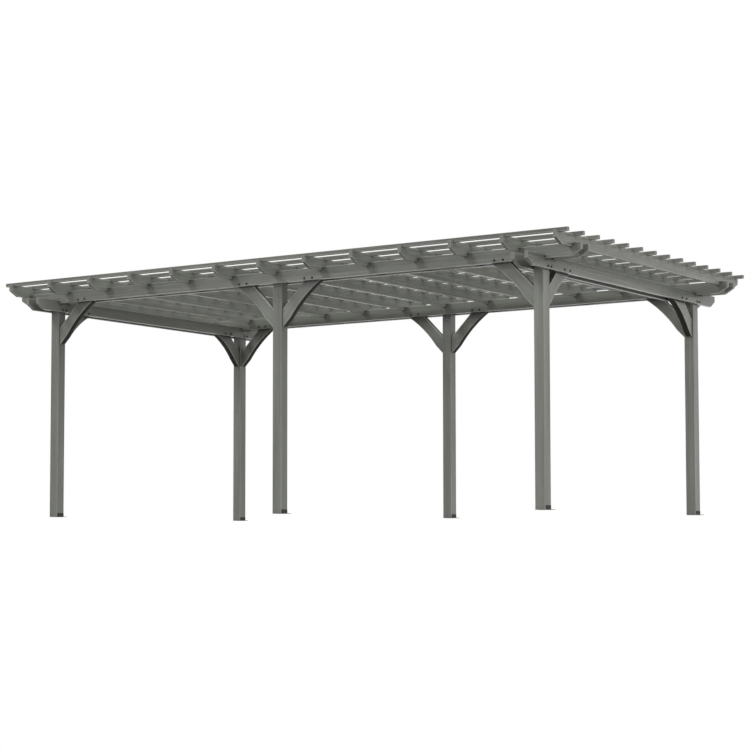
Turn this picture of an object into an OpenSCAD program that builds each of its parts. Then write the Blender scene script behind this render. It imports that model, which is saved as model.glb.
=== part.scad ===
// Open wooden pergola on six posts: doubled cross beams at the two ends, doubled long beams
// lapped over them, notched rafters across, square slats let into their tops, and curved knee braces.
// X runs along the long side, Y from front to back, Z up from the ground.

/* [Posts] */
// Side of the square posts
post_w = 115; // [90:1:150]
// Distance between post centres along the long side
bay_length = 3162; // [2000:1:4000]
// Distance between the front and back rows of posts, centre to centre
row_spacing = 3396; // [2200:1:4200]
// Ground to the underside of the cross beams
headroom = 2338; // [2200:1:2800]
// Chamfer along the upright arrises of a post
post_arris = 5; // [1:0.5:8]

/* [Beam boards] */
// Thickness of one beam board
board_t = 36; // [28:1:50]
// Depth of one beam board
board_h = 128; // [110:1:180]
// How far the long beams run on past the centres of the corner posts
beam_tail = 486; // [250:1:700]
// How far the cross beams run on past the centres of the corner posts
cross_tail = 432; // [250:1:600]
// How far the long boards are notched down over the cross boards
beam_lap = 34; // [15:1:50]
// Length of the sloping cut under the end of a beam board
beam_cut_len = 108; // [60:1:150]
// Height of the sloping cut under the end of a beam board
beam_cut_h = 64; // [40:1:90]

/* [Rafters] */
// Number of rafters
rafter_count = 13; // [7:2:17]
// Distance from the end of the long beams to the centre of the first and last rafter
rafter_inset = 115; // [20:1:300]
// Thickness of a rafter
rafter_t = 36; // [28:1:50]
// Depth of a rafter
rafter_h = 127; // [110:1:160]
// How far the rafters run on past the centre lines of the two rows of posts
rafter_tail = 402; // [220:1:600]
// How far the rafters are notched down over the long boards
rafter_lap = 40; // [10:1:50]
// Length of the sloping cut under the end of a rafter
rafter_cut_len = 115; // [50:1:140]
// Height of the sloping cut under the end of a rafter
rafter_cut_h = 58; // [30:1:70]

/* [Slats] */
// Number of slats
slat_count = 14; // [8:1:18]
// Side of the square slats
slat_w = 40; // [30:1:60]
// How far the slats run on past the outer faces of the end rafters
slat_overhang = 94; // [0:0.5:250]
// Distance from the end of a rafter to the centre of the first and last slat
slat_inset = 63; // [40:1:200]
// How far the slats are let into the tops of the rafters
slat_sink = 15; // [4:1:20]

/* [Knee braces] */
// Thickness of a brace
brace_t = 76; // [40:1:90]
// Height of a brace below the underside of the cross beams
brace_h = 363; // [280:1:500]
// Height of the upright face of a brace that bears on its post
brace_heel = 181; // [140:1:220]
// Width of the level cut under the lower end of a brace
brace_toe = 10; // [5:1:40]
// Height of the straight part of the lower edge, between the foot and the curve
brace_straight = 90; // [40:1:140]
// How far from its post the curve of a brace meets the underside of a long beam
brace_reach = 484; // [400:1:600]
// How far from its post the curve of a brace meets the underside of a cross beam
cross_brace_reach = 440; // [360:1:560]
// How deep the curve under a brace is cut in from a straight line
brace_sag = 25; // [10:1:50]

/* [Post anchors] */
// Width of an anchor angle
anchor_w = 100; // [70:1:110]
// Height of the leg against the post
anchor_h = 45; // [40:1:90]
// Reach of the leg on the ground
anchor_l = 50; // [40:1:90]
// Thickness of the plate
anchor_t = 4; // [3:0.5:6]
// Inner bend radius of the angle
anchor_bend = 4; // [2:0.5:8]
// Diameter of the hole for the ground bolt
anchor_hole_d = 13; // [9:0.5:16]

/* [Fits] */
// Room left on each side of a board in its notch
notch_gap = 1; // [0.5:0.1:2]
// Room left between a post top and the rafter above it
post_gap = 5; // [1:1:20]
// Room left between a brace top and the rafters above it
brace_gap = 10; // [5:1:30]
// Chamfer along the long arrises of boards, rafters and slats
board_arris = 3; // [1:0.5:5]

/* [Hidden] */
stain = "#72746b";
dark_steel = "#34352f";

half_row = row_spacing / 2;
board_off = (post_w + board_t) / 2;
beam_len = 2 * (bay_length + beam_tail);
cross_len = 2 * (half_row + cross_tail);
rafter_len = 2 * (half_row + rafter_tail);
rafter_field = beam_len - 2 * rafter_inset;
slat_len = rafter_field + rafter_t + 2 * slat_overhang;
slat_field = rafter_len - 2 * slat_inset;

cross_z = headroom;
cross_top = cross_z + board_h;
beam_z = cross_top - beam_lap;
beam_top = beam_z + board_h;
rafter_z = beam_top - rafter_lap;
slat_z = rafter_z + rafter_h - slat_sink;
post_h = rafter_z - post_gap;
brace_foot_z = cross_z - brace_h;
brace_seat = board_h - rafter_lap - brace_gap;

row_y = [-half_row, half_row];
post_x = [-bay_length, 0, bay_length];
rafter_step = rafter_field / (rafter_count - 1);
slat_step = slat_field / (slat_count - 1);

rows = ["front", "back"];
columns = ["left", "middle", "right"];
sides = ["outer", "inner"];

// Where the long boards cross the cross boards, and the rafters cross the long boards
cross_board_x = [for (s = [-1, 1], b = [-1, 1]) s * bay_length + b * board_off];
beam_board_y = [for (y = row_y, b = [-1, 1]) y + b * board_off];
// Centre lines of the slats
slat_y = [for (i = [0 : slat_count - 1]) i * slat_step - slat_field / 2];

// How far a cut runs on past the face it starts from
cut_over = 1;

post_names = [for (r = rows, c = columns) str(r, "_", c, "_post")];
beam_names = [for (r = rows, s = sides) str(r, "_beam_", s, "_board")];
cross_names = [for (c = ["left", "right"], s = sides) str(c, "_cross_beam_", s, "_board")];
brace_places = ["left", "middle_left", "middle_right", "right"];
brace_x = [-bay_length, 0, 0, bay_length];
brace_turn = [0, 180, 0, 180];
brace_names = [for (r = rows, b = brace_places) str(r, "_", b, "_brace")];
cross_brace_names = [for (r = rows, c = ["left", "right"]) str(r, "_", c, "_cross_brace")];
rafter_names = [for (i = [1 : rafter_count]) str("rafter_", i)];

// Square of side w with its corners cut off by c
module eased_square(w, h, c) {
    polygon([[c, 0], [w - c, 0], [w, c], [w, h - c], [w - c, h], [c, h], [0, h - c], [0, c]]);
}

// Side view of a board of length l and depth h, its middle at x = 0, with a sloping cut
// under both ends and a notch in the underside at each place in the list
module board_side(l, h, cut_len, cut_h, places, notch_w, notch_h) {
    difference() {
        polygon([[-l / 2, h], [-l / 2, cut_h], [-l / 2 + cut_len, 0], [l / 2 - cut_len, 0],
            [l / 2, cut_h], [l / 2, h]]);
        for (p = places) translate([p - notch_w / 2, -cut_over])
            square([notch_w, notch_h + cut_over]);
    }
}

// Board along X, standing on z = 0 and centred on y = 0, with eased long arrises
module board(l, h, t, cut_len, cut_h, places = [], notch_w = 0, notch_h = 0) {
    intersection() {
        rotate([90, 0, 0]) linear_extrude(t, center = true)
            board_side(l, h, cut_len, cut_h, places, notch_w, notch_h);
        rotate([90, 0, 90]) linear_extrude(l + 2 * cut_over, center = true)
            translate([-t / 2, 0]) eased_square(t, h, board_arris);
    }
}

module post(x, y) {
    color(stain) translate([x - post_w / 2, y - post_w / 2, 0]) linear_extrude(post_h)
        eased_square(post_w, post_w, post_arris);
}

module beam_board(y) {
    color(stain) translate([0, y, beam_z])
        board(beam_len, board_h, board_t, beam_cut_len, beam_cut_h, cross_board_x,
            board_t + 2 * notch_gap, beam_lap);
}

module cross_board(x) {
    color(stain) translate([x, 0, cross_z]) rotate(90)
        board(cross_len, board_h, board_t, beam_cut_len, beam_cut_h);
}

// Rafter along Y, lapped over the long boards, with a seat in its top for each slat
module rafter(x) {
    seat_w = slat_w + 2 * notch_gap;
    color(stain) translate([x, 0, rafter_z]) difference() {
        rotate(90) board(rafter_len, rafter_h, rafter_t, rafter_cut_len, rafter_cut_h, beam_board_y,
            board_t + 2 * notch_gap, rafter_lap);
        for (y = slat_y) translate([-rafter_t / 2 - cut_over, y - seat_w / 2, rafter_h - slat_sink])
            cube([rafter_t + 2 * cut_over, seat_w, slat_sink + cut_over]);
    }
}

module slats() {
    color(stain) for (y = slat_y)
        translate([-slat_len / 2, y - slat_w / 2, slat_z])
            rotate([90, 0, 90]) linear_extrude(slat_len) eased_square(slat_w, slat_w, board_arris);
}

// Outline of a knee brace at 45 degrees: x from the post's face, y from the ground. Its lower
// edge leaves the foot straight, then curves up to the underside of the beam it carries.
module brace_side(under_z, reach) {
    top_z = under_z + brace_seat;
    heel_z = brace_foot_z + brace_heel;
    low = [brace_toe + brace_straight, brace_foot_z + brace_straight];
    high = [reach, under_z];
    chord = norm(high - low);
    r = (pow(chord / 2, 2) + pow(brace_sag, 2)) / (2 * brace_sag);
    outward = [high.y - low.y, low.x - high.x] / chord;
    over = [cut_over, cut_over];
    difference() {
        polygon([[0, brace_foot_z], [brace_toe, brace_foot_z], low + over, high - over,
            high + [brace_seat, brace_seat], [top_z - heel_z, top_z], [0, heel_z]]);
        translate((low + high) / 2 + (r - brace_sag) * outward) circle(r, $fn = 720);
    }
}

// Knee brace under a beam, on the face of the post at (x, y) that looks in the direction turn
module brace(x, y, turn, under_z, reach) {
    color(stain) translate([x, y, 0]) rotate(turn) translate([post_w / 2, 0, 0])
        rotate([90, 0, 0]) linear_extrude(brace_t, center = true) brace_side(under_z, reach);
}

// Side view of an anchor angle, with its corner against the post at the origin
module anchor_side() {
    outer = anchor_bend + anchor_t;
    difference() {
        union() {
            translate([0, outer]) square([anchor_t, anchor_h - outer]);
            translate([outer, 0]) square([anchor_l - outer, anchor_t]);
            intersection() {
                square(outer);
                translate([outer, outer]) circle(outer, $fn = 64);
            }
        }
        translate([outer, outer]) circle(anchor_bend, $fn = 64);
    }
}

module post_anchors() {
    hole_x = (anchor_l + anchor_t + anchor_bend) / 2;
    color(dark_steel) for (x = post_x, y = row_y) translate([x + post_w / 2, y, 0]) difference() {
        rotate([90, 0, 0]) linear_extrude(anchor_w, center = true) anchor_side();
        translate([hole_x, 0, -cut_over])
            cylinder(d = anchor_hole_d, h = anchor_t + 2 * cut_over, $fn = 64);
    }
}

for (r = [0, 1], c = [0 : 2])
    post(post_x[c], row_y[r]);

for (r = [0, 1], s = [0, 1])
    beam_board(sign(row_y[r]) * (half_row + (s == 0 ? board_off : -board_off)));

for (c = [0, 1], s = [0, 1])
    cross_board((2 * c - 1) * (bay_length + (s == 0 ? board_off : -board_off)));

for (r = [0, 1], b = [0 : 3])
    brace(brace_x[b], row_y[r], brace_turn[b], beam_z, brace_reach);

for (r = [0, 1], c = [0, 1])
    brace((2 * c - 1) * bay_length, row_y[r], r == 0 ? 90 : -90, cross_z, cross_brace_reach);

for (i = [0 : rafter_count - 1])
    rafter(i * rafter_step - rafter_field / 2);

slats();
post_anchors();
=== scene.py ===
import math
import random

import bpy
from mathutils import Matrix, Vector


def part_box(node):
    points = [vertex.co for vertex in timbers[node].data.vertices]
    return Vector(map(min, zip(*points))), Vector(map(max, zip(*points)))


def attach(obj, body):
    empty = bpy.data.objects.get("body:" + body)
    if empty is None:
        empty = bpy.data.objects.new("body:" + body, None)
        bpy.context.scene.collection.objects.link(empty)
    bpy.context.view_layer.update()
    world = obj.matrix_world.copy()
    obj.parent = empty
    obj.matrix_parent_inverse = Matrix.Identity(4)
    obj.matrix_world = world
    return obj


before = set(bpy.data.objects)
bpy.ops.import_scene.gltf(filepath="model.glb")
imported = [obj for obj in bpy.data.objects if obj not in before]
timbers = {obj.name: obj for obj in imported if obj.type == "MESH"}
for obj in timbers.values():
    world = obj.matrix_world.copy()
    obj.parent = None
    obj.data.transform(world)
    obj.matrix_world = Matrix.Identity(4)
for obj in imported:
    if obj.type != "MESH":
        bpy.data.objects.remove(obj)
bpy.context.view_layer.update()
rows = ("front", "back")
ends = ("left", "right")
columns = ("left", "middle", "right")
boards = ("outer", "inner")  # a beam is two boards that clasp the posts
rafters = sorted(name for name in timbers if name.startswith("rafter_"))
print("frame loaded:", len(timbers), "timbers and fittings")


def stain(code):  # a colour as it is seen, turned into the shader's linear values
    parts = [int(code[i:i + 2], 16) / 255 for i in (1, 3, 5)]
    linear = [c / 12.92 if c < 0.04045 else ((c + 0.055) / 1.055) ** 2.4 for c in parts]
    return (*linear, 1.0)


def addNode(tree, kind, **settings):
    node = tree.nodes.new(kind)
    for key, value in settings.items():
        setattr(node, key, value)
    return node


def plug(tree, target, source):  # a socket is linked, a plain value is set
    if isinstance(source, bpy.types.NodeSocket):
        tree.links.new(source, target)
    else:
        target.default_value = source


def calc(tree, operation, first, second=0.0, clamp=False):
    node = addNode(tree, "ShaderNodeMath", operation=operation, use_clamp=clamp)
    plug(tree, node.inputs[0], first)
    plug(tree, node.inputs[1], second)
    return node.outputs[0]


def vectorCalc(tree, operation, first, second, output=0):
    node = addNode(tree, "ShaderNodeVectorMath", operation=operation)
    plug(tree, node.inputs[0], first)
    plug(tree, node.inputs[1], second)
    return node.outputs[output]


def spread(tree, value, low, high, toLow=0.0, toHigh=1.0):
    node = addNode(tree, "ShaderNodeMapRange", interpolation_type="SMOOTHSTEP")
    for i, part in enumerate((value, low, high, toLow, toHigh)):
        plug(tree, node.inputs[i], part)
    return node.outputs[0]


def blendColor(tree, amount, first, second):
    node = addNode(tree, "ShaderNodeMix", data_type="RGBA")
    plug(tree, node.inputs[0], amount)
    plug(tree, node.inputs[6], first)
    plug(tree, node.inputs[7], second)
    return node.outputs[2]


def cloud(tree, place, pattern):  # noise with features of the pattern's size
    stretched = vectorCalc(tree, "MULTIPLY", place, tuple(1 / s for s in pattern["size"]))
    node = addNode(tree, "ShaderNodeTexNoise")
    plug(tree, node.inputs["Vector"], stretched)
    node.inputs["Scale"].default_value = 1.0
    node.inputs["Detail"].default_value = pattern["detail"]
    node.inputs["Roughness"].default_value = pattern["harshness"]
    return node.outputs[0]


def weighted(tree, middle, patterns, weights):  # middle plus each pattern's swing about its half
    total = middle
    for name, weight in weights.items():
        swing = calc(tree, "MULTIPLY", calc(tree, "SUBTRACT", patterns[name], 0.5), weight)
        total = calc(tree, "ADD", swing, total)
    return total


# lengths are in metres, first along the grain and then across it
woodLook = {
    "seed": 958,
    "lightStain": "#95978f", "darkStain": "#62645e", "endStain": "#888982",
    # the pale arris stain is partly wear and partly painted highlight; the near-black stain is
    # painted shade in corners
    "wornHighlightStain": "#c6c7c0", "paintedShadeStain": "#22231f",
    # the two sawn stains are painted shade on the braces' edge faces
    "sawnShadeStain": "#474842", "sawnShadeDark": "#32332e",
    "streak": {"size": (0.8, 0.012, 0.012), "detail": 5.0, "harshness": 0.6},
    "fibre": {"size": (0.16, 0.0024, 0.0024), "detail": 2.0, "harshness": 0.55},
    "board": {"size": (2.6, 0.13, 0.13), "detail": 2.0, "harshness": 0.55},
    "ring": {"width": 0.009, "stretch": 0.06, "wander": 5.0, "detail": 2.0, "detailScale": 0.4},
    # how much each pattern counts in the faces, in the end grain and in the relief
    "figure": {"streak": 1.15, "fibre": 0.7, "board": 0.9, "ring": 0.3},
    "endFigure": {"ring": 0.45, "fibre": 0.6}, "endMiddle": 0.62,
    "relief": {"streak": 0.5, "fibre": 0.6, "ring": 0.2},
    "heart": ((-6, 6), (-0.09, 0.09), (0.05, 0.16)),  # from a timber's middle to the rings' own
    "toneSpread": 0.08, "laneTone": 0.12, "laneShift": (9.0, 0.4, 0.4),
    "roughSmooth": 0.19, "roughOpen": 0.33, "roughEnd": 0.12, "roughSawn": 0.3,
    "ior": 1.48, "faceSheen": 0.5, "sawnSheen": 0.08, "sawnFace": (0.35, 0.75),
    "endFace": (0.28, 0.42), "arris": (0.2, 0.32),
    # edge lightening, partly wear and partly painted highlight: its reach, its breakup and the
    # extra lightening of the lower arrises
    "edgeReach": 0.011, "sawnReach": 0.015, "wornHighlightStreak": (0.3, 0.6, 0.5, 0.9),
    "highlightLean": (-0.2, 0.05), "upperHighlight": 0.3,
    # painted shade in corners: the occlusion reach, its range and how dark it paints
    "paintedShadeReach": 0.07, "paintedShadeRange": (0.4, 0.9), "paintedShadeAmount": 0.88, "paintedShadeSamples": 6,
    "bumpDepth": 0.0005, "bumpStrength": 0.3,
}
edgeMask = {"samples": 4, "bend": (0.008, 0.05)}
waveRate = 20  # the wave node turns this many radians in a unit of length


def grainGroup():
    tree = bpy.data.node_groups.new("stainedGrain", "ShaderNodeTree")
    for name, kind in (("Place", "Vector"), ("Tone", "Float"), ("End", "Float"),
                       ("WornHighlight", "Float"), ("SawnAndShade", "Float"), ("PaintedShade", "Float")):
        tree.interface.new_socket(name=name, in_out="INPUT", socket_type="NodeSocket" + kind)
    for name, kind in (("Color", "Color"), ("Roughness", "Float"), ("Height", "Float")):
        tree.interface.new_socket(name=name, in_out="OUTPUT", socket_type="NodeSocket" + kind)
    given = addNode(tree, "NodeGroupInput").outputs
    made = addNode(tree, "NodeGroupOutput").inputs

    patterns = {name: cloud(tree, given["Place"], woodLook[name])
                for name in ("streak", "fibre", "board")}
    ring = woodLook["ring"]
    rings = addNode(tree, "ShaderNodeTexWave", wave_type="RINGS", rings_direction="X",
                    wave_profile="SAW")
    drawnOut = vectorCalc(tree, "MULTIPLY", given["Place"], (ring["stretch"], 1.0, 1.0))
    plug(tree, rings.inputs["Vector"], drawnOut)
    rings.inputs["Scale"].default_value = math.tau / waveRate / ring["width"]
    rings.inputs["Distortion"].default_value = ring["wander"]
    rings.inputs["Detail"].default_value = ring["detail"]
    rings.inputs["Detail Scale"].default_value = ring["detailScale"]
    patterns["ring"] = rings.outputs["Fac"]

    figure = weighted(tree, 0.5, patterns, woodLook["figure"])
    figure = calc(tree, "ADD", figure, given["Tone"], clamp=True)
    dark = stain(woodLook["darkStain"])
    color = blendColor(tree, figure, dark, stain(woodLook["lightStain"]))
    endFigure = weighted(tree, woodLook["endMiddle"], patterns, woodLook["endFigure"])
    endColor = blendColor(tree, endFigure, dark, stain(woodLook["endStain"]))
    color = blendColor(tree, given["End"], color, endColor)
    # painted shade: the braces' sawn edge faces darkened towards near-black
    sawnShadeColor = blendColor(tree, figure, stain(woodLook["sawnShadeDark"]), stain(woodLook["sawnShadeStain"]))
    color = blendColor(tree, given["SawnAndShade"], color, sawnShadeColor)
    # painted shade: corners and joints darkened towards a near-black stain
    color = blendColor(tree, given["PaintedShade"], color, stain(woodLook["paintedShadeStain"]))
    # wear and painted highlight: arrises and eased faces lightened towards a pale stain
    edgeLightening = calc(tree, "MULTIPLY", given["WornHighlight"],
                spread(tree, patterns["streak"], *woodLook["wornHighlightStreak"]))
    color = blendColor(tree, edgeLightening, color, stain(woodLook["wornHighlightStain"]))
    plug(tree, made["Color"], color)

    rough = spread(tree, figure, 0.0, 1.0, woodLook["roughOpen"], woodLook["roughSmooth"])
    rough = calc(tree, "ADD", rough, calc(tree, "MULTIPLY", given["End"], woodLook["roughEnd"]))
    sawnRough = calc(tree, "MULTIPLY", given["SawnAndShade"], woodLook["roughSawn"])
    plug(tree, made["Roughness"], calc(tree, "ADD", rough, sawnRough, clamp=True))
    plug(tree, made["Height"], weighted(tree, 0.5, patterns, woodLook["relief"]))
    return tree


def facing(tree, axis):  # how squarely a face looks along an axis, either way
    flat = addNode(tree, "ShaderNodeNewGeometry").outputs["True Normal"]
    return calc(tree, "ABSOLUTE", vectorCalc(tree, "DOT_PRODUCT", flat, tuple(axis), output=1))


def arris(tree, first, second):  # 1 on the eased faces between the two sides of a timber
    between = calc(tree, "MULTIPLY", facing(tree, first), facing(tree, second))
    return spread(tree, between, *woodLook["arris"])


def roundedEdge(tree, reach):  # 1 along an arris and 0 on the flat, and the rounded normal
    softened = addNode(tree, "ShaderNodeBevel", samples=edgeMask["samples"])
    softened.inputs["Radius"].default_value = reach
    flat = addNode(tree, "ShaderNodeNewGeometry").outputs["True Normal"]
    along = vectorCalc(tree, "DOT_PRODUCT", softened.outputs[0], flat, output=1)
    bend = calc(tree, "SUBTRACT", 1.0, along)
    return spread(tree, bend, *edgeMask["bend"]), softened.outputs[0]


def lowerArrisHighlight(tree, normal):  # painted highlight: the lower arrises are lightened most and the upper ones less
    lean = addNode(tree, "ShaderNodeSeparateXYZ")
    plug(tree, lean.inputs[0], normal)
    return spread(tree, lean.outputs["Z"], *woodLook["highlightLean"], 1.0, woodLook["upperHighlight"])


def paintedCornerShade(tree):  # painted shade: darker where timbers meet and in corners, from an ambient occlusion node
    shelter = addNode(tree, "ShaderNodeAmbientOcclusion", samples=woodLook["paintedShadeSamples"])
    shelter.inputs["Distance"].default_value = woodLook["paintedShadeReach"]
    return spread(tree, shelter.outputs["AO"], *woodLook["paintedShadeRange"],
                  woodLook["paintedShadeAmount"], 0.0)


def middleOf(name):
    low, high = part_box(name)
    return (low + high) / 2


woodGrain = grainGroup()
draw = random.Random(woodLook["seed"])


def woodMaterial(name, along, thick, sawnEdges=False, repeat=None,
                 darker=0.0, wearAndHighlight=1.0, cornerShade=1.0):
    along, thick = Vector(along).normalized(), Vector(thick).normalized()
    wide = thick.cross(along)
    turn = Matrix((along, wide, thick))
    heart = Vector([draw.uniform(*span) for span in woodLook["heart"]])
    tone = draw.uniform(-woodLook["toneSpread"], woodLook["toneSpread"]) - darker
    material = bpy.data.materials.new(name)
    material.use_nodes = True
    tree = material.node_tree
    shader = tree.nodes["Principled BSDF"]
    place = addNode(tree, "ShaderNodeMapping")
    place.inputs["Location"].default_value = heart - turn @ middleOf(name)
    place.inputs["Rotation"].default_value = turn.to_euler("XYZ")
    spot = addNode(tree, "ShaderNodeTexCoord").outputs["Object"]
    plug(tree, place.inputs["Vector"], spot)
    grain = addNode(tree, "ShaderNodeGroup", node_tree=woodGrain)
    if repeat:  # several equal timbers in one node: each gets its own stretch of grain
        first, step = repeat
        lane = addNode(tree, "ShaderNodeSeparateXYZ")
        plug(tree, lane.inputs[0], spot)
        fromFirst = calc(tree, "SUBTRACT", lane.outputs["Y"], first)
        count = calc(tree, "ROUND", calc(tree, "DIVIDE", fromFirst, step))
        toss = addNode(tree, "ShaderNodeTexWhiteNoise", noise_dimensions="1D")
        plug(tree, toss.inputs["W"], count)
        moved = vectorCalc(tree, "MULTIPLY", toss.outputs["Color"], woodLook["laneShift"])
        plug(tree, grain.inputs["Place"], vectorCalc(tree, "ADD", place.outputs[0], moved))
        palest, darkest = woodLook["laneTone"] - darker, -woodLook["laneTone"] - darker
        plug(tree, grain.inputs["Tone"],
             spread(tree, toss.outputs["Value"], 0.0, 1.0, darkest, palest))
    else:
        plug(tree, grain.inputs["Place"], place.outputs[0])
        grain.inputs["Tone"].default_value = tone
    plug(tree, grain.inputs["End"], spread(tree, facing(tree, along), *woodLook["endFace"]))
    # edge lightening on arrises and eased faces: partly wear, partly painted highlight, most on
    # the lower arrises
    edgeAmount, rounded = roundedEdge(tree, woodLook["sawnReach" if sawnEdges else "edgeReach"])
    edgeAmount = calc(tree, "MAXIMUM", edgeAmount, arris(tree, thick, wide))
    if not sawnEdges:
        edgeAmount = calc(tree, "MULTIPLY", edgeAmount, lowerArrisHighlight(tree, rounded))
    plug(tree, grain.inputs["WornHighlight"], calc(tree, "MULTIPLY", edgeAmount, wearAndHighlight))
    # painted shade in corners, scaled for each kind of timber
    plug(tree, grain.inputs["PaintedShade"], calc(tree, "MULTIPLY", paintedCornerShade(tree), cornerShade))
    # sawn edge faces: rougher and with less sheen, and darkened as painted shade
    if sawnEdges:
        smooth = spread(tree, facing(tree, thick), *woodLook["sawnFace"])
        plug(tree, grain.inputs["SawnAndShade"], calc(tree, "SUBTRACT", 1.0, smooth))
        sheen = spread(tree, smooth, 0.0, 1.0, woodLook["sawnSheen"], woodLook["faceSheen"])
        plug(tree, shader.inputs["Specular IOR Level"], sheen)
    plug(tree, shader.inputs["Base Color"], grain.outputs["Color"])
    plug(tree, shader.inputs["Roughness"], grain.outputs["Roughness"])
    shader.inputs["IOR"].default_value = woodLook["ior"]
    bump = addNode(tree, "ShaderNodeBump")
    bump.inputs["Strength"].default_value = woodLook["bumpStrength"]
    bump.inputs["Distance"].default_value = woodLook["bumpDepth"]
    plug(tree, bump.inputs["Height"], grain.outputs["Height"])
    plug(tree, shader.inputs["Normal"], bump.outputs[0])
    return material


def dress(name, material):
    timber = timbers[name]
    timber.data.materials.clear()
    timber.data.materials.append(material)


def stainTimber(name, along, thick, **finish):
    dress(name, woodMaterial(name, along, thick, **finish))


# per timber: stain darkening, edge lightening (wear and painted highlight) and painted corner
# shade
timberFinish = {
    "post": {"darker": 0.12, "wearAndHighlight": 0.6, "cornerShade": 0.3},
    "board": {"darker": 0.0, "wearAndHighlight": 1.0, "cornerShade": 1.0},
    "rafter": {"darker": 0.0, "wearAndHighlight": 1.0, "cornerShade": 0.45},
    # painted shade: the slats' stain is set much darker than the other timbers' to stand in for
    # the shade on them
    "slat": {"darker": 0.38, "wearAndHighlight": 1.0, "cornerShade": 0.6},
    "brace": {"darker": 0.0, "wearAndHighlight": 1.15, "cornerShade": 0.5},
}
upright, lengthways, crossways = (0, 0, 1), (1, 0, 0), (0, 1, 0)
for row in rows:
    for column in columns:
        stainTimber(f"{row}_{column}_post", upright, crossways, **timberFinish["post"])
    for side in boards:
        stainTimber(f"{row}_beam_{side}_board", lengthways, crossways, **timberFinish["board"])
for end in ends:
    for side in boards:
        stainTimber(f"{end}_cross_beam_{side}_board", crossways, lengthways,
                    **timberFinish["board"])
for name in rafters:
    stainTimber(name, crossways, lengthways, **timberFinish["rafter"])

slatCount = 14
slatLow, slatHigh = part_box("slats")
slatWide = slatHigh.z - slatLow.z  # the slats are square
slatStep = (slatHigh.y - slatLow.y - slatWide) / (slatCount - 1)
slatFirst = slatLow.y + slatWide / 2
stainTimber("slats", lengthways, upright, repeat=(slatFirst, slatStep), **timberFinish["slat"])

# each brace leans away from its post: which post, and which way along the beam
beamBraces = {"left": ("left", 1), "middle_left": ("middle", -1),
              "middle_right": ("middle", 1), "right": ("right", -1)}
braceEase = {"width": 0.003, "segments": 2, "merge": 0.00001, "angle": 35}


def easeEdges(name):  # the CAD braces are sharp; sanded arrises catch the light
    timber = timbers[name]
    weld = timber.modifiers.new("weld", "WELD")
    weld.merge_threshold = braceEase["merge"]
    ease = timber.modifiers.new("ease", "BEVEL")
    ease.width = braceEase["width"]
    ease.segments = braceEase["segments"]
    ease.limit_method = "ANGLE"
    ease.angle_limit = math.radians(braceEase["angle"])
    ease.harden_normals = False


for row in rows:
    inward = 1 if row == "front" else -1
    leans = [(f"{row}_{brace}_brace", (way, 0, 1), crossways)
             for brace, (post, way) in beamBraces.items()]
    leans += [(f"{row}_{end}_cross_brace", (0, inward, 1), lengthways) for end in ends]
    for name, along, thick in leans:
        stainTimber(name, along, thick, sawnEdges=True, **timberFinish["brace"])
        easeEdges(name)
print("timbers stained")


steelLook = {
    "coat": "#2b2b29", "coatFaded": "#3d3d3a", "bare": "#6b6a66",
    "patch": {"size": (0.03, 0.03, 0.03), "detail": 4.0, "harshness": 0.55},
    "grit": {"size": (0.0012, 0.0012, 0.0012), "detail": 1.0, "harshness": 0.55},
    "mottle": {"patch": 1.6, "grit": 0.4},
    "metal": 0.35, "roughLow": 0.42, "roughHigh": 0.66,
    "edgeReach": 0.0012, "wornPatch": (0.4, 0.6, 0.2, 0.8),
    "bumpDepth": 0.0002, "bumpStrength": 0.3,
}


def steelMaterial(name):
    material = bpy.data.materials.new(name)
    material.use_nodes = True
    tree = material.node_tree
    shader = tree.nodes["Principled BSDF"]
    spot = addNode(tree, "ShaderNodeTexCoord").outputs["Object"]
    patterns = {part: cloud(tree, spot, steelLook[part]) for part in ("patch", "grit")}
    mottle = weighted(tree, 0.5, patterns, steelLook["mottle"])
    color = blendColor(tree, mottle, stain(steelLook["coat"]), stain(steelLook["coatFaded"]))
    edgeAmount = roundedEdge(tree, steelLook["edgeReach"])[0]
    edgeLightening = calc(tree, "MULTIPLY", edgeAmount,
                spread(tree, patterns["patch"], *steelLook["wornPatch"]))
    color = blendColor(tree, edgeLightening, color, stain(steelLook["bare"]))
    plug(tree, shader.inputs["Base Color"], color)
    plug(tree, shader.inputs["Roughness"],
         spread(tree, mottle, 0.0, 1.0, steelLook["roughLow"], steelLook["roughHigh"]))
    shader.inputs["Metallic"].default_value = steelLook["metal"]
    bump = addNode(tree, "ShaderNodeBump")
    bump.inputs["Strength"].default_value = steelLook["bumpStrength"]
    bump.inputs["Distance"].default_value = steelLook["bumpDepth"]
    plug(tree, bump.inputs["Height"], patterns["grit"])
    plug(tree, shader.inputs["Normal"], bump.outputs[0])
    return material


darkSteel = steelMaterial("darkSteel")
dress("post_anchors", darkSteel)
print("anchors coated")


def startTree(name, sizes):
    tree = bpy.data.node_groups.new(name, "GeometryNodeTree")
    tree.interface.new_socket(name="Points", in_out="INPUT", socket_type="NodeSocketGeometry")
    for label in sizes:
        tree.interface.new_socket(name=label, in_out="INPUT", socket_type="NodeSocketFloat")
    tree.interface.new_socket(name="Finish", in_out="INPUT", socket_type="NodeSocketMaterial")
    tree.interface.new_socket(name="Fixings", in_out="OUTPUT", socket_type="NodeSocketGeometry")
    return tree, addNode(tree, "NodeGroupInput").outputs


# shares are of the piece's own height or radius
hexShape = {"washerSides": 24, "washerEase": 0.3, "washerTaper": 0.95,
            "headSides": 6, "headEase": 0.2, "headTaper": 0.86,
            "shankSides": 12, "shankSunk": 0.5, "shankEase": 0.001, "shankTaper": 0.86}
screwShape = {"sides": 12, "ease": 0.5, "taper": 0.8,
              "socket": {"width": 0.5, "depth": 0.8, "taper": 0.9}}


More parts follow.
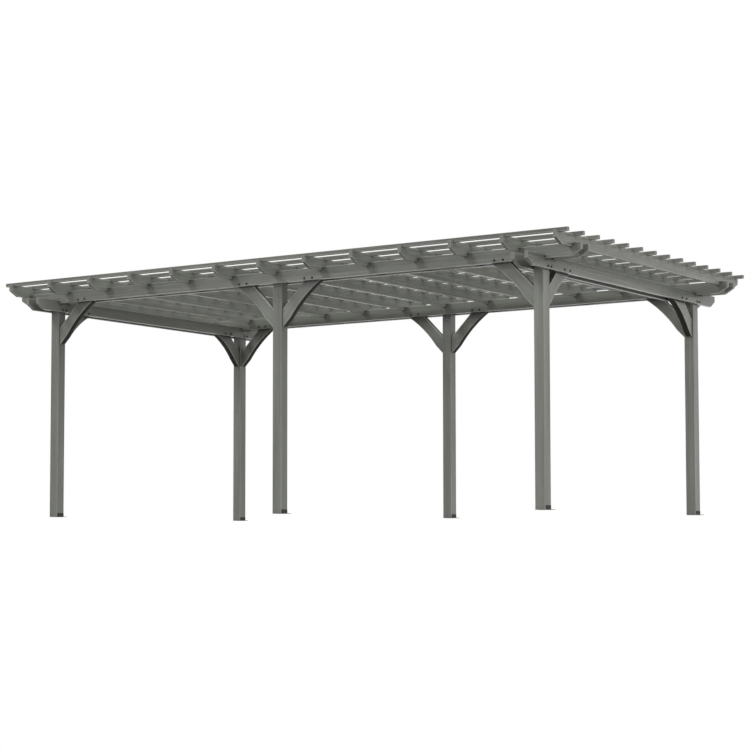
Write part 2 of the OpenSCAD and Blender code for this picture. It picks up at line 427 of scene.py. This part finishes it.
def lift(tree, shape, chosen, distance, scale):  # pull faces out and draw them in
    pulled = addNode(tree, "GeometryNodeExtrudeMesh", mode="FACES")
    plug(tree, pulled.inputs["Mesh"], shape)
    plug(tree, pulled.inputs["Selection"], chosen)
    plug(tree, pulled.inputs["Offset Scale"], distance)
    sized = addNode(tree, "GeometryNodeScaleElements", domain="FACE")
    plug(tree, sized.inputs["Geometry"], pulled.outputs["Mesh"])
    plug(tree, sized.inputs["Selection"], pulled.outputs["Top"])
    sized.inputs["Scale"].default_value = scale
    return sized.outputs[0], pulled.outputs["Top"]


def prism(tree, sides, radius, depth, chamfer, rise, taper, socket=None):
    body = addNode(tree, "GeometryNodeMeshCylinder")
    body.inputs["Vertices"].default_value = sides
    plug(tree, body.inputs["Radius"], radius)
    plug(tree, body.inputs["Depth"], depth)
    shape, top = lift(tree, body.outputs["Mesh"], body.outputs["Top"], chamfer, taper)
    if socket:  # a driver socket sunk in the top
        shape, top = lift(tree, shape, top, 0.0, socket["width"])
        sunk = calc(tree, "MULTIPLY", depth, -socket["depth"])
        shape, top = lift(tree, shape, top, sunk, socket["taper"])
    shift = addNode(tree, "ShaderNodeCombineXYZ")
    plug(tree, shift.inputs["Z"], calc(tree, "ADD", calc(tree, "MULTIPLY", depth, 0.5), rise))
    moved = addNode(tree, "GeometryNodeTransform")
    plug(tree, moved.inputs["Geometry"], shape)
    plug(tree, moved.inputs["Translation"], shift.outputs[0])
    return moved.outputs[0]


def setOut(tree, given, shapes, seed):  # one fixing on every point, facing out of the timber
    joined = addNode(tree, "GeometryNodeJoinGeometry")
    for shape in shapes:
        tree.links.new(shape, joined.inputs[0])
    out = addNode(tree, "GeometryNodeInputNamedAttribute", data_type="FLOAT_VECTOR")
    out.inputs["Name"].default_value = "outward"
    aim = addNode(tree, "FunctionNodeAlignRotationToVector", axis="Z")
    plug(tree, aim.inputs["Vector"], out.outputs["Attribute"])
    twist = addNode(tree, "FunctionNodeRandomValue", data_type="FLOAT")
    plug(tree, twist.inputs[2], 0.0)
    plug(tree, twist.inputs[3], math.tau)
    twist.inputs["Seed"].default_value = seed
    spin = addNode(tree, "FunctionNodeAxisAngleToRotation")
    spin.inputs["Axis"].default_value = (0, 0, 1)
    plug(tree, spin.inputs["Angle"], twist.outputs[1])
    turned = addNode(tree, "FunctionNodeRotateRotation", rotation_space="LOCAL")
    plug(tree, turned.inputs["Rotation"], aim.outputs[0])
    plug(tree, turned.inputs["Rotate By"], spin.outputs[0])
    placed = addNode(tree, "GeometryNodeInstanceOnPoints")
    plug(tree, placed.inputs["Points"], given["Points"])
    plug(tree, placed.inputs["Instance"], joined.outputs[0])
    plug(tree, placed.inputs["Rotation"], turned.outputs[0])
    real = addNode(tree, "GeometryNodeRealizeInstances")
    plug(tree, real.inputs[0], placed.outputs[0])
    coated = addNode(tree, "GeometryNodeSetMaterial")
    plug(tree, coated.inputs["Geometry"], real.outputs[0])
    plug(tree, coated.inputs["Material"], given["Finish"])
    tree.links.new(coated.outputs[0], addNode(tree, "NodeGroupOutput").inputs[0])


def hexTree(seed):  # a hexagon on a washer, with the bolt's end in its middle
    tree, given = startTree("hexOnWasher", ("Head width", "Head height", "Washer width",
                                            "Washer thickness", "Shank width", "Shank out"))

    def share(label, part):
        return calc(tree, "MULTIPLY", given[label], part)

    washer = prism(tree, hexShape["washerSides"], share("Washer width", 0.5),
                   share("Washer thickness", 1 - hexShape["washerEase"]),
                   share("Washer thickness", hexShape["washerEase"]), 0.0,
                   hexShape["washerTaper"])
    head = prism(tree, hexShape["headSides"], share("Head width", 1 / math.sqrt(3)),
                 share("Head height", 1 - hexShape["headEase"]),
                 share("Head height", hexShape["headEase"]), given["Washer thickness"],
                 hexShape["headTaper"])
    sunk = share("Head height", hexShape["shankSunk"])
    shankOut = calc(tree, "ADD", given["Shank out"], sunk)
    shank = prism(tree, hexShape["shankSides"], share("Shank width", 0.5),
                  calc(tree, "SUBTRACT", shankOut, hexShape["shankEase"]), hexShape["shankEase"],
                  calc(tree, "ADD", given["Washer thickness"], sunk), hexShape["shankTaper"])
    setOut(tree, given, (washer, head, shank), seed)
    return tree


def screwTree(seed):  # a low round head with a socket
    tree, given = startTree("socketScrew", ("Head width", "Head height"))
    radius = calc(tree, "MULTIPLY", given["Head width"], 0.5)
    depth = calc(tree, "MULTIPLY", given["Head height"], 1 - screwShape["ease"])
    chamfer = calc(tree, "MULTIPLY", given["Head height"], screwShape["ease"])
    head = prism(tree, screwShape["sides"], radius, depth, chamfer, 0.0,
                 screwShape["taper"], screwShape["socket"])
    setOut(tree, given, (head,), seed)
    return tree


def makeFixings(name, tree, spots, sizes):
    spotMesh = bpy.data.meshes.new(name + "Spots")
    spotMesh.from_pydata([spot for spot, out in spots], [], [])
    outward = spotMesh.attributes.new("outward", "FLOAT_VECTOR", "POINT")
    outward.data.foreach_set("vector", [c for spot, out in spots for c in out])
    maker = bpy.data.objects.new(name + "Maker", spotMesh)
    bpy.context.scene.collection.objects.link(maker)
    modifier = maker.modifiers.new("fixings", "NODES")
    modifier.node_group = tree
    for item in tree.interface.items_tree:
        if item.in_out == "INPUT" and item.name in sizes:
            modifier[item.identifier] = sizes[item.name]
        elif item.name == "Finish":
            modifier[item.identifier] = darkSteel
    ready = maker.evaluated_get(bpy.context.evaluated_depsgraph_get())
    mesh = bpy.data.meshes.new_from_object(ready)
    bpy.data.objects.remove(maker)
    piece = bpy.data.objects.new(name, mesh)
    bpy.context.scene.collection.objects.link(piece)
    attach(piece, "root")
    print(name, "set out:", len(spots), "fixings,", len(mesh.polygons), "faces")


# distances from the middle of a post along the beam, and up from the beam's underside
boltPlaces = {"beamReach": (0.38, 0.48), "beamRise": 0.025,
              "crossReach": (0.305, 0.415), "crossRise": 0.028,
              "postSpread": 0.032, "postRise": 0.026}
headSizes = {"Head width": 0.017, "Head height": 0.0065, "Washer width": 0.026,
             "Washer thickness": 0.002, "Shank width": 0.008, "Shank out": -0.002}
nutSizes = {"Head width": 0.017, "Head height": 0.0085, "Washer width": 0.026,
            "Washer thickness": 0.002, "Shank width": 0.010, "Shank out": 0.006}
anchorPlaces = {"spread": 0.028, "rise": 0.029, "legThickness": 0.004}
anchorSizes = {"Head width": 0.013, "Head height": 0.0053, "Washer width": 0.018,
               "Washer thickness": 0.0016, "Shank width": 0.006, "Shank out": -0.002}
slatScrewSizes = {"Head width": 0.0085, "Head height": 0.0012}
fixingSeeds = {"hex": 11, "screw": 12}

headSpots, nutSpots, anchorSpots = [], [], []
for row in rows:
    outWay = -1 if row == "front" else 1
    outerBoard, innerBoard = (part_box(f"{row}_beam_{side}_board") for side in boards)
    outerY = (outerBoard[0] if outWay < 0 else outerBoard[1]).y
    innerY = (innerBoard[1] if outWay < 0 else innerBoard[0]).y
    boltZ = outerBoard[0].z + boltPlaces["beamRise"]
    for post, way in beamBraces.values():
        postX = middleOf(f"{row}_{post}_post").x
        for reach in boltPlaces["beamReach"]:
            headSpots.append(((postX + way * reach, outerY, boltZ), (0, outWay, 0)))
            nutSpots.append(((postX + way * reach, innerY, boltZ), (0, -outWay, 0)))
    for end in ends:
        endWay = -1 if end == "left" else 1
        outerBoard, innerBoard = (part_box(f"{end}_cross_beam_{side}_board") for side in boards)
        outerX = (outerBoard[0] if endWay < 0 else outerBoard[1]).x
        innerX = (innerBoard[1] if endWay < 0 else innerBoard[0]).x
        postY = middleOf(f"{row}_{end}_post").y
        braceZ = outerBoard[0].z + boltPlaces["crossRise"]
        postZ = outerBoard[0].z + boltPlaces["postRise"]
        along = [(postY - outWay * reach, braceZ) for reach in boltPlaces["crossReach"]]
        along += [(postY + shift * boltPlaces["postSpread"], postZ) for shift in (-1, 1)]
        for y, z in along:
            headSpots.append(((outerX, y, z), (endWay, 0, 0)))
            nutSpots.append(((innerX, y, z), (-endWay, 0, 0)))
    for column in columns:
        low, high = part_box(f"{row}_{column}_post")
        legX = high.x + anchorPlaces["legThickness"]
        for shift in (-1, 1):
            screwY = (low.y + high.y) / 2 + shift * anchorPlaces["spread"]
            anchorSpots.append(((legX, screwY, anchorPlaces["rise"]), (1, 0, 0)))
rafterLines = [middleOf(f"rafter_{r + 1}").x for r in range(len(rafters))]
slatSpots = [((x, slatFirst + s * slatStep, slatHigh.z), upright)
             for x in rafterLines for s in range(slatCount)]

hexFixing = hexTree(fixingSeeds["hex"])
makeFixings("boltHeads", hexFixing, headSpots, headSizes)
makeFixings("boltNuts", hexFixing, nutSpots, nutSizes)
makeFixings("anchorScrews", hexFixing, anchorSpots, anchorSizes)
makeFixings("slatScrews", screwTree(fixingSeeds["screw"]), slatSpots, slatScrewSizes)


studio = {
    "floorSize": 300.0, "floorShown": 0.92, "floorBounce": 0.16,
    "skyStrength": 0.675, "skyTint": (1.0, 1.0, 1.0, 1.0),
    "lamps": {
        "sideLamp": {"strength": 1.5, "softness": 70.0, "from": (0.95, -0.1, 0.24)},
        "frontLamp": {"strength": 1.36, "softness": 14.0, "from": (-0.42, -0.6, 0.7)},
    },
}
cameraView = {"place": (12.7486, -18.9031, -0.4159), "turn": (93.9656, 0.0733, 33.8583),
              "lens": 97.437, "rise": 0.05, "farthest": 500.0}


def backgroundRay(tree):  # 1 where the backdrop itself is looked at, straight or mirrored
    path = addNode(tree, "ShaderNodeLightPath").outputs
    seen = calc(tree, "MAXIMUM", path["Is Camera Ray"], path["Is Glossy Ray"])
    return calc(tree, "MAXIMUM", seen, path["Is Transmission Ray"])


def grey(level):
    return (level, level, level, 1.0)


def makeFloor():
    half = studio["floorSize"] / 2
    corners = [(-half, -half, 0), (half, -half, 0), (half, half, 0), (-half, half, 0)]
    mesh = bpy.data.meshes.new("studioFloor")
    mesh.from_pydata(corners, [], [(0, 1, 2, 3)])
    floor = bpy.data.objects.new("studioFloor", mesh)
    bpy.context.scene.collection.objects.link(floor)
    material = bpy.data.materials.new("paleFloor")
    material.use_nodes = True
    tree = material.node_tree
    tree.nodes.clear()
    top = addNode(tree, "ShaderNodeBsdfDiffuse")
    plug(tree, top.inputs["Color"], blendColor(tree, backgroundRay(tree),
                                               grey(studio["floorBounce"]),
                                               grey(studio["floorShown"])))
    # the photo looks up from just below the feet, so the underside lets the view through
    clear = addNode(tree, "ShaderNodeBsdfTransparent")
    sides = addNode(tree, "ShaderNodeMixShader")
    plug(tree, sides.inputs[0], addNode(tree, "ShaderNodeNewGeometry").outputs["Backfacing"])
    plug(tree, sides.inputs[1], top.outputs[0])
    plug(tree, sides.inputs[2], clear.outputs[0])
    plug(tree, addNode(tree, "ShaderNodeOutputMaterial").inputs["Surface"], sides.outputs[0])
    mesh.materials.append(material)


def makeLight():
    world = bpy.data.worlds.new("softStudio")
    world.use_nodes = True
    bpy.context.scene.world = world
    tree = world.node_tree
    tree.nodes.clear()
    lit = addNode(tree, "ShaderNodeBackground")
    lit.inputs["Color"].default_value = studio["skyTint"]
    lit.inputs["Strength"].default_value = studio["skyStrength"]
    white = addNode(tree, "ShaderNodeBackground")
    white.inputs["Color"].default_value = grey(1.0)
    choice = addNode(tree, "ShaderNodeMixShader")
    plug(tree, choice.inputs[0], backgroundRay(tree))
    plug(tree, choice.inputs[1], lit.outputs[0])
    plug(tree, choice.inputs[2], white.outputs[0])
    plug(tree, addNode(tree, "ShaderNodeOutputWorld").inputs["Surface"], choice.outputs[0])
    for name, given in studio["lamps"].items():
        lamp = bpy.data.lights.new(name, "SUN")
        lamp.energy = given["strength"]
        lamp.angle = math.radians(given["softness"])
        holder = bpy.data.objects.new(name, lamp)
        holder.rotation_euler = Vector(given["from"]).to_track_quat("Z", "Y").to_euler()
        bpy.context.scene.collection.objects.link(holder)


def makeCamera():
    lens = bpy.data.cameras.new("photoCamera")
    lens.lens = cameraView["lens"]
    lens.shift_y = cameraView["rise"]
    lens.clip_end = cameraView["farthest"]
    camera = bpy.data.objects.new("photoCamera", lens)
    camera.location = cameraView["place"]
    camera.rotation_euler = [math.radians(angle) for angle in cameraView["turn"]]
    bpy.context.scene.collection.objects.link(camera)
    bpy.context.scene.camera = camera


makeFloor()
makeLight()
makeCamera()
bpy.context.scene.view_settings.view_transform = "Standard"
print("studio ready")
